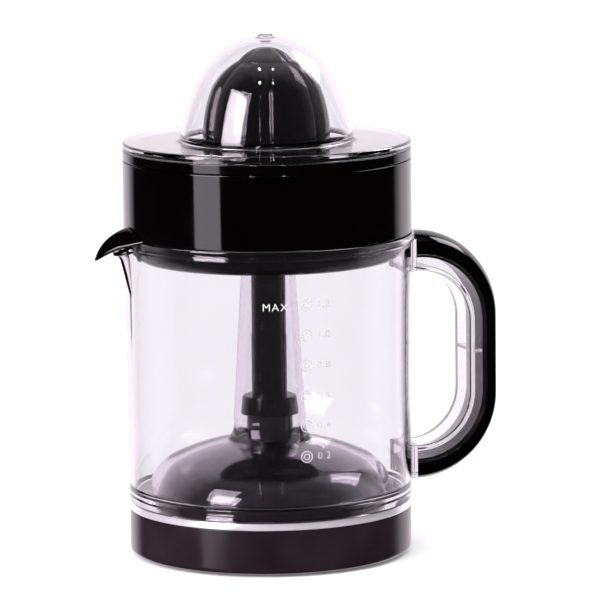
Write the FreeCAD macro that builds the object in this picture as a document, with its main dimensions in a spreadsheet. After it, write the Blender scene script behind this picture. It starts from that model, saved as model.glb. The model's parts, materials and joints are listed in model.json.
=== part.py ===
"""Citrus press juicer: geared motor base, clear jug, collector, strainer, two cones and a clear cover.

Frame: millimetres, +Z up, origin on the drive axis in the plane of the feet, +X to the jug handle
and -X to the pouring spout. Every outline below is given in that frame, so no piece is moved.
"""
import FreeCAD, Part
import math
import os
import Sketcher

DOC = FreeCAD.newDocument("citrus_juicer")
SHEET = DOC.addObject("Spreadsheet::Sheet", "Sizes")
UP = FreeCAD.Vector(0, 0, 1)

# ---------------------------------------------------------------- sizes and formulas


class Size:
    """A length with the spreadsheet formula that it comes from, so that sums keep both."""

    def __init__(self, value, text):
        self.value = value
        self.text = text

    def __add__(self, other):
        other = as_size(other)
        return Size(self.value + other.value, "(%s + %s)" % (self.text, other.text))

    def __sub__(self, other):
        other = as_size(other)
        return Size(self.value - other.value, "(%s - %s)" % (self.text, other.text))

    def __mul__(self, other):
        other = as_size(other)
        return Size(self.value * other.value, "(%s * %s)" % (self.text, other.text))

    def __truediv__(self, other):
        other = as_size(other)
        return Size(self.value / other.value, "(%s / %s)" % (self.text, other.text))

    def __neg__(self):
        return Size(-self.value, "(-%s)" % self.text)


def as_size(value):
    return value if isinstance(value, Size) else Size(float(value), repr(float(value)))


def square_root(size):
    return Size(math.sqrt(size.value), "sqrt(%s)" % size.text)


class Table:
    """The driving dimensions: each one is a spreadsheet cell and an attribute of this table."""

    def __init__(self):
        self.row = 0

    def add(self, section, **cells):
        for alias, value in cells.items():
            self.row += 1
            SHEET.set("A%d" % self.row, section + ": " + alias.replace("_", " "))
            SHEET.set("B%d" % self.row, repr(value))
            SHEET.setAlias("B%d" % self.row, alias)
            setattr(self, alias, Size(value, "Sizes." + alias))


k = Table()
k.add("clearances", gap=0.3, running=0.05, slack=0.1)
k.add("base housing", base_bottom=1.0, base_radius=69.0, base_wall=2.6, base_edge=2.4, deck_top=22.5,
      deck_thick=2.5, deck_hole=56.0)
k.add("chrome trim", trim_outer=69.25, trim_inner=66.2, trim_top=25.7)
k.add("motor cover", dome_radius=55.0, dome_shoulder=28.0, dome_top=54.0, dome_wall=2.4,
      flange_radius=65.9, flange_top=24.1, neck_radius=11.2, neck_bore=7.0, neck_top=71.5)
k.add("cover posts", post_radius=3.4, post_ring=43.0, post_top=41.5)
k.add("bottom cover", floor_radius=66.1, floor_bottom=1.2, floor_top=3.6, guide_outer=11.0,
      guide_inner=8.9, guide_top=13.3)
k.add("feet", foot_radius=6.5, foot_top=2.2, foot_ring=52.0)
k.add("housing screws", boss_radius=4.0, boss_ring=60.0, screw_radius=1.3, head_radius=2.8,
      head_low=1.3, head_high=2.6, screw_top=14.0)
k.add("cord inlet", inlet_height=11.5, inlet_radius=5.0, inlet_flange=7.0, inlet_bore=3.0,
      inlet_flange_thick=1.3)
k.add("gear plate", plate_bottom=20.2, plate_top=21.7, plate_radius=48.0)
k.add("gears", gear_module=1.0, wheel_module=0.8, output_low=28.0, output_high=34.0,
      pinion_low=25.2, pinion_high=36.0, wheel_low=22.3, wheel_high=25.0, motor_pinion_low=22.1,
      motor_pinion_high=25.5)
k.add("motor", core_low=8.0, core_high=16.0, core_west=-50.0, core_east=-18.0, core_south=-20.0,
      core_north=38.0, core_bore=11.6, rotor_radius=11.2, window_west=-42.0, window_east=-26.0,
      window_south=14.0, window_north=28.0, motor_shaft=1.6)
k.add("motor bracket", bracket_low=5.0, bracket_high=6.2, bracket_north=13.0, motor_screw=1.5)
k.add("thrust cup", cup_radius=8.6, cup_low=11.0, cup_seat=13.0, cup_flange=17.0,
      cup_flange_low=16.3, cup_flange_high=18.3)
k.add("return spring", spring_radius=6.6, spring_wire=0.45, spring_turns=4.0)
k.add("switch", switch_half=10.0, switch_near=11.6, switch_far=17.4, switch_top=12.8,
      plunger_radius=1.5, plunger_place=-14.2, plunger_low=11.1, plunger_high=16.25)
k.add("spindle", spindle_radius=4.0, spindle_low=13.05, spindle_top=206.0, collar_low=68.2,
      collar_top=77.2, collar_low_radius=14.2, collar_top_radius=13.1, collar_cavity=12.2,
      collar_roof=75.0, sleeve_radius=8.65, sleeve_step=107.0, sleeve_upper=8.4,
      sleeve_shoulder=186.0, hexagon=5.5, hexagon_top=214.0)
k.add("jug", jug_bottom=26.0, jug_foot=69.35, jug_radius=70.0, jug_wall=2.8, jug_rim=157.2,
      lip_radius=71.6, lip_depth=3.7, jug_floor=31.0, spigot_low=24.4, spigot_outer=65.9,
      inner_dome=56.2, shell=2.6, column_base=17.6, column_foot=60.0, column_top=158.0,
      column_tip=12.0, column_wall=1.9)
k.add("spout", spout_tip=79.5, spout_half=14.5, spout_foot=129.0, spout_wall=2.0)
k.add("handle", handle_centre=74.5, handle_high=109.5, handle_low=74.3, handle_split=34.0,
      handle_cover=8.0, handle_channel=8.4, handle_width=24.0, channel_wall=2.2, tongue=1.5,
      handle_root=72.5, rib_height=94.0, cover_edge=5.0, cover_rise=3.0, cover_drop=2.0)
k.add("collector", band_radius=70.4, band_wall=2.4, band_low=157.5, band_top=193.6,
      skirt_radius=65.8, skirt_wall=2.0, bowl_low=144.5, bowl_corner=7.0, chimney_inner=13.4,
      chimney_wall=1.8, chimney_top=165.0, tube_inner=9.6, tube_wall=1.8, tube_top=182.0)
k.add("strainer", rim_radius=70.3, rim_inner=67.4, rim_low=193.9, rim_top=198.7, ledge_top=196.0,
      basket_radius=66.8, basket_wall=2.0, basket_low=176.0, basket_floor=2.0, hub_inner=12.2,
      hub_outer=14.2, hub_top=187.5)
k.add("dust cover", brim_radius=70.3, brim_low=199.0, brim_plate=200.3, brim_top=202.7,
      hood_radius=42.0, hood_foot=205.0, hood_wall=2.0, hood_knee=34.2, hood_knee_height=230.3,
      hood_crown=13.6, hood_crown_height=250.8, nub_radius=3.6, nub_top=254.0)
k.add("cones", cone_low=190.0, cone_radius=30.6, cone_waist=202.0, cone_shell=2.2, cone_mouth=12.8,
      cone_shoulder=240.4, fin_height=0.9, fin_width=2.6, tip_top=247.9, tip_radius=12.4,
      tip_base=19.2, socket_radius=9.5, socket_low=187.5, socket_top=217.0)

PARTS = []
SPRING_RUNS = 12  # straight runs that stand for one turn of the return spring
CONE_TURN = 11  # degrees from the jug handle to the nearest ridge of the large cone

# ---------------------------------------------------------------- drawing helpers


def new_body(label):
    body = DOC.addObject("PartDesign::Body", label)
    body.Label = label
    PARTS.append(body)
    return body


def new_sketch(body, plane, height=None):
    """A sketch on one of the body's origin planes, raised along the plane's normal if asked."""
    sketch = body.newObject("Sketcher::SketchObject", body.Name + "_sketch")
    support = [item for item in body.Origin.OriginFeatures if item.Role == plane][0]
    sketch.AttachmentSupport = (support, [""])
    sketch.MapMode = "FlatFace"
    if height is not None:
        sketch.setExpression("AttachmentOffset.Base.z", as_size(height).text)
    return sketch


def hold(sketch, geometry, end, across, value, bound):
    """Hold one coordinate of a point, by its axis if it is nought and by its formula if not."""
    value = as_size(value)
    if abs(value.value) < 1e-9:
        sketch.addConstraint(Sketcher.Constraint("PointOnObject", geometry, end, -2 if across else -1))
        return
    kind = "DistanceX" if across else "DistanceY"
    if value.value > 0:
        made = Sketcher.Constraint(kind, -1, 1, geometry, end, value.value)
        text = value.text
    else:
        made = Sketcher.Constraint(kind, geometry, end, -1, 1, -value.value)
        text = "-" + value.text
    bound.append((sketch.addConstraint(made), text))


def arc_between(start, end, radius):
    """The arc from start to end: a positive radius has its centre to the left of the way."""
    chord = end - start
    half = chord.Length / 2
    rise = math.sqrt(max(radius * radius - half * half, 0))
    left = FreeCAD.Vector(-chord.y, chord.x, 0).normalize()
    centre = (start + end) / 2 + left * math.copysign(rise, radius)
    first, last = (start, end) if radius > 0 else (end, start)
    angles = [math.atan2(point.y - centre.y, point.x - centre.x) for point in (first, last)]
    return Part.ArcOfCircle(Part.Circle(centre, UP, abs(radius)), angles[0], angles[1])


def outline(sketch, points):
    """Close an outline through the points; a third entry bends the edge that leaves a point."""
    places = [FreeCAD.Vector(as_size(p[0]).value, as_size(p[1]).value, 0) for p in points]
    ends = []
    bound = []
    for index, point in enumerate(points):
        start, end = places[index], places[(index + 1) % len(places)]
        if len(point) == 3:
            bend = as_size(point[2])
            geometry = sketch.addGeometry(arc_between(start, end, bend.value))
            turned = bend.value < 0
            made = sketch.addConstraint(Sketcher.Constraint("Radius", geometry, abs(bend.value)))
            bound.append((made, "abs(%s)" % bend.text))
            ends.append((geometry, 2 if turned else 1, 1 if turned else 2))
        else:
            geometry = sketch.addGeometry(Part.LineSegment(start, end))
            ends.append((geometry, 1, 2))
    for index, (geometry, start_end, _) in enumerate(ends):
        before, _, before_end = ends[index - 1]
        sketch.addConstraint(Sketcher.Constraint("Coincident", before, before_end, geometry, start_end))
        hold(sketch, geometry, start_end, True, points[index][0], bound)
        hold(sketch, geometry, start_end, False, points[index][1], bound)
    for number, text in bound:
        sketch.setExpression("Constraints[%d]" % number, text)


def circles(sketch, radius, places):
    """Circles of one radius at the given places."""
    bound = []
    for across, along in places:
        centre = FreeCAD.Vector(as_size(across).value, as_size(along).value, 0)
        geometry = sketch.addGeometry(Part.Circle(centre, UP, as_size(radius).value))
        made = sketch.addConstraint(Sketcher.Constraint("Radius", geometry, as_size(radius).value))
        bound.append((made, as_size(radius).text))
        hold(sketch, geometry, 3, True, across, bound)
        hold(sketch, geometry, 3, False, along, bound)
    for number, text in bound:
        sketch.setExpression("Constraints[%d]" % number, text)


def box_points(west, east, low, high):
    return [(west, low), (east, low), (east, high), (west, high)]


def polar(ring, degrees):
    """A place at an angle on a ring."""
    turn = math.radians(degrees)
    return ring * round(math.cos(turn), 12), ring * round(math.sin(turn), 12)


def finish_feature(body, feature, cuts, base=None):
    """Recompute, and stop if a feature did nothing or went the wrong way."""
    base = base or feature.BaseFeature
    before = base.Shape.Volume if base else 0.0
    DOC.recompute()
    change = feature.Shape.Volume - before
    if (change > -1e-3) if cuts else (change < 1e-3):
        raise RuntimeError("%s of %s changes the volume by %.3f" % (feature.Name, body.Label, change))
    return feature


def revolve(body, points, cuts=False):
    kind = "PartDesign::Groove" if cuts else "PartDesign::Revolution"
    sketch = new_sketch(body, "XZ_Plane")
    outline(sketch, points)
    feature = body.newObject(kind, body.Name + "_turned")
    feature.Profile = sketch
    feature.ReferenceAxis = (sketch, ["V_Axis"])
    feature.Angle = 360
    return finish_feature(body, feature, cuts)


def extrude(body, draw, low, high, cuts=False):
    """Pad or pocket between two heights, with the sketch drawn by a function."""
    kind = "PartDesign::Pocket" if cuts else "PartDesign::Pad"
    sketch = new_sketch(body, "XY_Plane", low)
    draw(sketch)
    feature = body.newObject(kind, body.Name + "_extruded")
    feature.Profile = sketch
    feature.setExpression("Length", (as_size(high) - low).text)
    feature.Reversed = cuts
    return finish_feature(body, feature, cuts)


def slab(body, points, width, cuts=False):
    """Pad or pocket an XZ outline to both sides of the XZ plane."""
    kind = "PartDesign::Pocket" if cuts else "PartDesign::Pad"
    sketch = new_sketch(body, "XZ_Plane")
    outline(sketch, points)
    feature = body.newObject(kind, body.Name + "_slab")
    feature.Profile = sketch
    feature.SideType = "Symmetric"
    feature.setExpression("Length", as_size(width).text)
    return finish_feature(body, feature, cuts)


def loft(body, plane, sections, cuts=False):
    kind = "PartDesign::SubtractiveLoft" if cuts else "PartDesign::AdditiveLoft"
    sketches = []
    for height, points in sections:
        sketch = new_sketch(body, plane, height)
        outline(sketch, points)
        sketches.append(sketch)
    feature = body.newObject(kind, body.Name + "_loft")
    feature.Profile = sketches[0]
    feature.Sections = sketches[1:]
    feature.Ruled = len(sections) == 2
    return finish_feature(body, feature, cuts)


def repeat_round(body, feature, count, cuts=False):
    """Repeat a feature around the drive axis."""
    axis = [item for item in body.Origin.OriginFeatures if item.Role == "Z_Axis"][0]
    pattern = body.newObject("PartDesign::PolarPattern", body.Name + "_pattern")
    pattern.Originals = [feature]
    pattern.Axis = (axis, [""])
    pattern.Angle = 360
    pattern.Occurrences = count
    body.Tip = pattern
    return finish_feature(body, pattern, cuts, base=feature)


def round_edges(body, radius, chosen):
    """Round every edge of the body whose box the function chooses."""
    base = body.Tip
    names = ["Edge%d" % number for number, edge in enumerate(base.Shape.Edges, 1) if chosen(edge.BoundBox)]
    feature = body.newObject("PartDesign::Fillet", body.Name + "_rounded")
    feature.Base = (base, names)
    feature.setExpression("Radius", as_size(radius).text)
    return finish_feature(body, feature, cuts=True)


def cylinder(name, radius, low, high, across=0, along=0):
    item = DOC.addObject("Part::Cylinder", name)
    item.setExpression("Radius", as_size(radius).text)
    item.setExpression("Height", (as_size(high) - low).text)
    item.setExpression("Placement.Base.x", as_size(across).text)
    item.setExpression("Placement.Base.y", as_size(along).text)
    item.setExpression("Placement.Base.z", as_size(low).text)
    return item


def block(name, west, east, south, north, low, high):
    item = DOC.addObject("Part::Box", name)
    item.setExpression("Length", (as_size(east) - west).text)
    item.setExpression("Width", (as_size(north) - south).text)
    item.setExpression("Height", (as_size(high) - low).text)
    item.setExpression("Placement.Base.x", as_size(west).text)
    item.setExpression("Placement.Base.y", as_size(south).text)
    item.setExpression("Placement.Base.z", as_size(low).text)
    return item


def joined(name, shapes):
    item = DOC.addObject("Part::MultiFuse", name)
    item.Shapes = shapes
    return item


def less(name, base, tool):
    item = DOC.addObject("Part::Cut", name)
    item.Base = base
    item.Tool = tool
    return item


def group(label, solids):
    """Identical pieces that share one node, each one a solid of its own."""
    item = DOC.addObject("Part::Compound", label)
    item.Links = solids
    return part(label, item)


def part(label, item):
    item.Label = label
    PARTS.append(item)
    return item


def tube(label, outer, inner, low, high, across=0, along=0):
    whole = cylinder(label + "_outer", outer, low, high, across, along)
    hole = cylinder(label + "_hole", inner, low, high, across, along)
    return less(label + "_tube", whole, hole)


def screw(name, across, along, head, shank, head_low, head_high, top):
    """A screw put in from below: its head, then its shank up to the top."""
    cap = cylinder(name + "_head", head, head_low, head_high, across, along)
    rod = cylinder(name + "_shank", shank, head_high, top, across, along)
    return joined(name, [cap, rod])


# ---------------------------------------------------------------- gear train

GEAR_PRESSURE = math.radians(25.0)
GEAR_BACKLASH = 0.12
OUTPUT_TEETH, PINION_TEETH = 42, 14
WHEEL_TEETH, MOTOR_TEETH = 36, 12
IDLER_BEARING = 150.0
ROTOR_BEARING = 240.5
idler_reach = k.gear_module * ((OUTPUT_TEETH + PINION_TEETH) / 2)
rotor_reach = k.wheel_module * ((WHEEL_TEETH + MOTOR_TEETH) / 2)
idler_x, idler_y = polar(idler_reach, IDLER_BEARING)
rotor_x, rotor_y = polar(rotor_reach, ROTOR_BEARING)
rotor_x, rotor_y = rotor_x + idler_x, rotor_y + idler_y


def gear_outline(module, teeth, first_tooth):
    """A closed wire of involute teeth, with one tooth centred on the first_tooth bearing."""
    pitch = module * teeth / 2
    base = pitch * math.cos(GEAR_PRESSURE)
    tip = pitch + 0.9 * module
    root = pitch - 1.2 * module
    spread = math.tan(GEAR_PRESSURE) - GEAR_PRESSURE
    half_tooth = math.pi / (2 * teeth) - GEAR_BACKLASH / (2 * pitch) + spread
    start = max(base, root)
    radii = [start + (tip - start) * step / 4 for step in range(5)]

    def flank_angle(radius):
        roll = math.acos(min(base / radius, 1.0))
        return half_tooth - (math.tan(roll) - roll)

    def place(radius, angle):
        return FreeCAD.Vector(radius * math.cos(angle), radius * math.sin(angle), 0)

    edges = []
    for tooth in range(teeth):
        middle = math.radians(first_tooth) + 2 * math.pi * tooth / teeth
        following = middle + 2 * math.pi / teeth
        rising = [place(radius, middle - flank_angle(radius)) for radius in radii]
        falling = [place(radius, middle + flank_angle(radius)) for radius in reversed(radii)]
        rising_curve = Part.BSplineCurve()
        rising_curve.interpolate(rising)
        falling_curve = Part.BSplineCurve()
        falling_curve.interpolate(falling)
        foot = place(root, middle + flank_angle(start))
        next_foot = place(root, following - flank_angle(start))
        root_middle = place(root, middle + math.pi / teeth)
        next_start = place(start, following - flank_angle(start))
        edges.append(rising_curve.toShape())
        edges.append(Part.Arc(rising[-1], place(tip, middle), falling[0]).toShape())
        edges.append(falling_curve.toShape())
        if start > root + 1e-6:
            edges.append(Part.makeLine(falling[-1], foot))
        edges.append(Part.Arc(foot, root_middle, next_foot).toShape())
        if start > root + 1e-6:
            edges.append(Part.makeLine(next_foot, next_start))
    return Part.Wire(edges)


def gear_solid(module, teeth, first_tooth, low, high, bore):
    face = Part.Face(gear_outline(module.value, teeth, first_tooth))
    solid = face.extrude(FreeCAD.Vector(0, 0, high.value - low.value))
    solid.translate(FreeCAD.Vector(0, 0, low.value))
    hole = Part.makeCylinder(bore, high.value - low.value, FreeCAD.Vector(0, 0, low.value))
    return solid.cut(hole)


def gear_part(label, shape, across, along):
    item = DOC.addObject("Part::Feature", label)
    item.Shape = shape
    item.Placement = FreeCAD.Placement(FreeCAD.Vector(across, along, 0), FreeCAD.Rotation())
    return part(label, item)


def make_gears():
    pin_bore = 1.8 + k.running.value
    output = gear_solid(k.gear_module, OUTPUT_TEETH, IDLER_BEARING, k.output_low, k.output_high,
                        k.spindle_radius.value)
    hub_low = k.output_low.value - 2
    hub_height = k.output_high.value - hub_low + 3
    hub = Part.makeCylinder(7.0, hub_height, FreeCAD.Vector(0, 0, hub_low))
    hub = hub.cut(Part.makeCylinder(k.spindle_radius.value, hub_height, FreeCAD.Vector(0, 0, hub_low)))
    for bearing in range(0, 360, 60):
        window = Part.makeCylinder(4.2, 30, FreeCAD.Vector(0, 0, hub_low - 1))
        window.translate(FreeCAD.Vector(*[value for value in polar(12.8, bearing)], 0))
        output = output.cut(window)
    gear_part("output_gear", output.fuse(hub).removeSplitter(), 0, 0)

    pinion_tooth = IDLER_BEARING + 180 + 180 / PINION_TEETH
    pinion = gear_solid(k.gear_module, PINION_TEETH, pinion_tooth, k.pinion_low, k.pinion_high, pin_bore)
    wheel = gear_solid(k.wheel_module, WHEEL_TEETH, ROTOR_BEARING, k.wheel_low, k.wheel_high, pin_bore)
    collar_height = k.pinion_low.value - k.wheel_high.value
    collar = Part.makeCylinder(5.0, collar_height, FreeCAD.Vector(0, 0, k.wheel_high.value))
    collar = collar.cut(Part.makeCylinder(pin_bore, 30, FreeCAD.Vector(0, 0, 10)))
    gear_part("compound_gear", wheel.fuse([collar, pinion]).removeSplitter(), idler_x.value, idler_y.value)

    motor_tooth = ROTOR_BEARING + 180 + 180 / MOTOR_TEETH
    motor_pinion = gear_solid(k.wheel_module, MOTOR_TEETH, motor_tooth, k.motor_pinion_low,
                              k.motor_pinion_high, k.motor_shaft.value)
    gear_part("motor_pinion", motor_pinion, rotor_x.value, rotor_y.value)


# ---------------------------------------------------------------- base

SCREW_BEARINGS = [0, 90 + 22, 180, 270]
FOOT_BEARINGS = [45, 135, 225, 315]
POST_BEARINGS = [20, 100, 260]
MOTOR_SCREWS = [(-46, -16), (-22, 10)]


def make_base_housing():
    body = new_body("base_housing")
    inner = k.base_radius - k.base_wall
    deck_low = k.deck_top - k.deck_thick
    revolve(body, [(inner, k.base_bottom), (k.base_radius, k.base_bottom), (k.base_radius, k.deck_top),
                   (k.deck_hole, k.deck_top), (k.deck_hole, deck_low), (inner, deck_low)])
    bosses = [polar(k.boss_ring, bearing) for bearing in SCREW_BEARINGS]
    extrude(body, lambda sketch: circles(sketch, k.boss_radius, bosses), k.floor_top, deck_low + 1)
    extrude(body, lambda sketch: circles(sketch, k.screw_radius, bosses), k.floor_top - 1,
            k.screw_top + 1, cuts=True)
    window = new_sketch(body, "XZ_Plane")
    circles(window, k.inlet_radius + k.slack, [(0, k.inlet_height)])
    hole = body.newObject("PartDesign::Pocket", "inlet_hole")
    hole.Profile = window
    hole.Length = 80
    hole.Reversed = False
    finish_feature(body, hole, cuts=True)
    low = k.base_bottom.value + 1e-3
    round_edges(body, k.base_edge, lambda box: box.ZMax < low and box.XMax > k.base_radius.value - 1)


def make_trim_ring():
    body = new_body("chrome_trim_ring")
    revolve(body, [(k.trim_inner, k.deck_top), (k.trim_outer, k.deck_top), (k.trim_outer, k.trim_top),
                   (k.trim_inner, k.trim_top)])


def dome_points(radius, shoulder, top, stop):
    """Side, knee and stopping point of a dome of two arcs that meet smoothly, and their radii."""
    rise = top - shoulder
    corner = rise * 0.65
    crown = (radius * radius - radius * corner * 2 + rise * rise) / ((rise - corner) * 2)
    corner_centre = radius - corner
    share = corner / (crown - corner)
    knee = (corner_centre + corner_centre * share, shoulder + (crown - rise) * share)
    last = (stop, top - crown + square_root(crown * crown - stop * stop))
    return (radius, shoulder), knee, last, corner, crown


def side_radius(across, up):
    """Radius of the arc that leaves upright and arrives this far across and up."""
    return (across * across + up * up) / (2 * across)


def make_motor_cover():
    body = new_body("motor_cover")
    inner_radius = k.dome_radius - k.dome_wall
    side, knee, last, side_bend, top_bend = dome_points(
        k.dome_radius, k.dome_shoulder, k.dome_top, k.neck_radius)
    side_in, knee_in, last_in, side_bend_in, top_bend_in = dome_points(
        inner_radius, k.dome_shoulder, k.dome_top - k.dome_wall, k.neck_bore)
    revolve(body, [
        (inner_radius, k.deck_top), (k.flange_radius, k.deck_top), (k.flange_radius, k.flange_top),
        (k.dome_radius, k.flange_top), side + (side_bend,), knee + (top_bend,), last,
        (k.neck_radius, k.neck_top), (k.neck_bore, k.neck_top), last_in + (-top_bend_in,),
        knee_in + (-side_bend_in,), side_in])
    posts = [polar(k.post_ring, bearing) for bearing in POST_BEARINGS]
    extrude(body, lambda sketch: circles(sketch, k.post_radius, posts), k.plate_top, k.post_top)
    extrude(body, lambda sketch: circles(sketch, k.screw_radius, posts), k.plate_top - 1,
            k.plate_top + 12, cuts=True)


def make_bottom_cover():
    body = new_body("bottom_cover")
    extrude(body, lambda sketch: circles(sketch, k.floor_radius, [(0, 0)]), k.floor_bottom, k.floor_top)
    extrude(body, lambda sketch: circles(sketch, k.guide_outer, [(0, 0)]), k.floor_top, k.guide_top)
    extrude(body, lambda sketch: circles(sketch, k.guide_inner, [(0, 0)]), k.floor_top, k.guide_top + 1,
            cuts=True)
    feet = [(0, 0)] + [polar(k.foot_ring, bearing) for bearing in FOOT_BEARINGS]
    extrude(body, lambda sketch: circles(sketch, k.foot_radius, feet), k.floor_bottom - 1, k.foot_top,
            cuts=True)
    screws = [polar(k.boss_ring, bearing) for bearing in SCREW_BEARINGS]
    extrude(body, lambda sketch: circles(sketch, k.head_radius + k.slack, screws), k.floor_bottom - 1,
            k.head_high, cuts=True)
    extrude(body, lambda sketch: circles(sketch, k.screw_radius + k.slack, screws), k.floor_bottom,
            k.floor_top + 1, cuts=True)
    slot = extrude(body, lambda sketch: outline(sketch, box_points(26, 42, -1.2, 1.2)),
                   k.floor_bottom - 1, k.floor_top + 1, cuts=True)
    repeat_round(body, slot, 12, cuts=True)


def make_base_fasteners():
    group("rubber_feet", [
        cylinder("foot_%d" % number, k.foot_radius, 0, k.foot_top, *place)
        for number, place in enumerate(
            [(0, 0)] + [polar(k.foot_ring, bearing) for bearing in FOOT_BEARINGS])])
    group("bottom_screws", [
        screw("bottom_screw_%d" % bearing, *polar(k.boss_ring, bearing), k.head_radius, k.screw_radius,
              k.head_low, k.head_high, k.screw_top)
        for bearing in SCREW_BEARINGS])
    group("plate_screws", [
        screw("plate_screw_%d" % bearing, *polar(k.post_ring, bearing), k.head_radius, k.screw_radius,
              k.plate_bottom - 1.4, k.plate_bottom, k.plate_top + 10)
        for bearing in POST_BEARINGS])
    group("motor_screws", [
        screw("motor_screw_%d" % number, across, along, k.head_radius, k.motor_screw,
              k.bracket_low - 1.3, k.bracket_low, k.plate_top)
        for number, (across, along) in enumerate(MOTOR_SCREWS)])
    spacers = []
    for number, (across, along) in enumerate(MOTOR_SCREWS):
        spacers.append(tube("lower_spacer_%d" % number, k.motor_screw + 1.4, k.motor_screw,
                            k.bracket_high, k.core_low, across, along))
        spacers.append(tube("upper_spacer_%d" % number, k.motor_screw + 1.4, k.motor_screw,
                            k.core_high, k.plate_bottom, across, along))
    group("motor_spacers", spacers)


def make_cord_inlet():
    """A grommet in the back wall: a flange each side of the wall, and a bore for the lead."""
    wall_inner = k.base_radius - k.base_wall
    outer_face = k.base_radius + k.inlet_flange_thick
    inner_face = wall_inner - k.inlet_flange_thick - 0.4
    body = new_body("cord_inlet_gland")
    sections = [(k.inlet_flange, k.base_radius, outer_face),
                (k.inlet_radius, wall_inner - 0.4, k.base_radius),
                (k.inlet_flange, inner_face, wall_inner - 0.4)]
    for radius, near, far in sections:
        disc_on_back(body, radius, near, far, cuts=False)
    disc_on_back(body, k.inlet_bore, inner_face - 1, outer_face + 1, cuts=True)


def disc_on_back(body, radius, near, far, cuts):
    """A round pad or pocket along +Y between two distances from the axis."""
    kind = "PartDesign::Pocket" if cuts else "PartDesign::Pad"
    sketch = new_sketch(body, "XZ_Plane", -as_size(near))
    circles(sketch, radius, [(0, k.inlet_height)])
    feature = body.newObject(kind, body.Name + "_disc")
    feature.Profile = sketch
    feature.setExpression("Length", (as_size(far) - near).text)
    feature.Reversed = not cuts
    return finish_feature(body, feature, cuts)


# ---------------------------------------------------------------- motor and switch


def make_gear_plate():
    body = new_body("gear_plate")
    extrude(body, lambda sketch: circles(sketch, k.plate_radius, [(0, 0)]), k.plate_bottom, k.plate_top)
    holes = [(6.0, [(0, 0)]),
             (1.8, [(idler_x, idler_y)]),
             (3.5, [(rotor_x, rotor_y)]),
             (k.screw_radius + k.slack, [polar(k.post_ring, bearing) for bearing in POST_BEARINGS]),
             (k.motor_screw, MOTOR_SCREWS),
             (6.0, [polar(32.0, bearing) for bearing in (0, 50, 215, 305)])]
    for radius, places in holes:
        extrude(body, lambda sketch, r=radius, p=places: circles(sketch, r, p), k.plate_bottom - 1,
                k.plate_top + 1, cuts=True)


def make_bearings():
    part("lower_spindle_bush", tube("lower_spindle_bush", as_size(6.0), k.spindle_radius + k.running,
                                    k.plate_bottom - 0.8, k.plate_top + 1.3))
    part("upper_spindle_bush", tube("upper_spindle_bush", k.neck_bore, k.spindle_radius + k.running,
                                    as_size(56.0), as_size(67.0)))
    part("shaft_seal", tube("shaft_seal", k.neck_bore, k.spindle_radius + k.running, as_size(67.5),
                            k.neck_top - 0.3))
    bushes = []
    for name, low, high in (("low", k.bracket_low - 0.4, k.bracket_high + 0.8),
                            ("high", k.plate_bottom - 0.8, k.plate_top + 0.2)):
        bushes.append(tube("rotor_bush_" + name, as_size(3.5), k.motor_shaft + k.running, low, high,
                           rotor_x, rotor_y))
    group("rotor_bushes", bushes)
    part("idler_pin", cylinder("idler_pin", 1.8, k.plate_bottom, k.pinion_high + 1.2, idler_x, idler_y))
    part("retaining_ring", tube("retaining_ring", as_size(3.6), as_size(1.8), k.pinion_high + 0.3,
                                k.pinion_high + 0.9, idler_x, idler_y))


def make_motor():
    body = new_body("stator_core")
    extrude(body, lambda sketch: outline(sketch, box_points(
        k.core_west, k.core_east, k.core_south, k.core_north)), k.core_low, k.core_high)
    extrude(body, lambda sketch: circles(sketch, k.core_bore, [(rotor_x, rotor_y)]),
            k.core_low - 1, k.core_high + 1, cuts=True)
    extrude(body, lambda sketch: outline(sketch, box_points(
        k.window_west, k.window_east, k.window_south, k.window_north)),
        k.core_low - 1, k.core_high + 1, cuts=True)
    extrude(body, lambda sketch: circles(sketch, k.motor_screw, MOTOR_SCREWS),
            k.core_low - 1, k.core_high + 1, cuts=True)

    leg = (k.window_north, k.core_north, k.core_low, k.core_high)
    west, east = k.core_west + 8.0, k.core_east - 8.0
    tube_box = wrap("bobbin_tube", west, east, leg, 1.0)
    flanges = [wrap("bobbin_flange_%s" % side, start, start + 1.0, leg, 3.6)
               for side, start in (("west", west), ("east", east - 1.0))]
    whole = joined("bobbin_whole", [tube_box] + flanges)
    part("coil_bobbin", less("coil_bobbin", whole, wrap("bobbin_leg", west - 1, east + 1, leg, 0.0)))
    part("motor_coil", less("motor_coil", wrap("coil_whole", west + 1.0, east - 1.0, leg, 3.1),
                            wrap("coil_tube", west, east, leg, 1.0)))

    part("rotor", tube("rotor", k.rotor_radius, k.motor_shaft, k.core_low - 0.5, k.core_high + 0.5,
                       rotor_x, rotor_y))
    part("rotor_shaft", cylinder("rotor_shaft", k.motor_shaft, k.bracket_low - 0.9,
                                 k.motor_pinion_high + 0.6, rotor_x, rotor_y))

    bracket = new_body("motor_bracket")
    extrude(bracket, lambda sketch: outline(sketch, box_points(
        k.core_west, k.core_east, k.core_south, k.bracket_north)), k.bracket_low, k.bracket_high)
    extrude(bracket, lambda sketch: circles(sketch, 3.5, [(rotor_x, rotor_y)]),
            k.bracket_low - 1, k.bracket_high + 1, cuts=True)
    extrude(bracket, lambda sketch: circles(sketch, k.motor_screw, MOTOR_SCREWS),
            k.bracket_low - 1, k.bracket_high + 1, cuts=True)


def wrap(name, west, east, leg, margin):
    """A block around the coil's leg of the core, larger than the leg by the margin all round."""
    south, north, low, high = leg
    return block(name, west, east, south - margin, north + margin, low - margin, high + margin)


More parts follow.
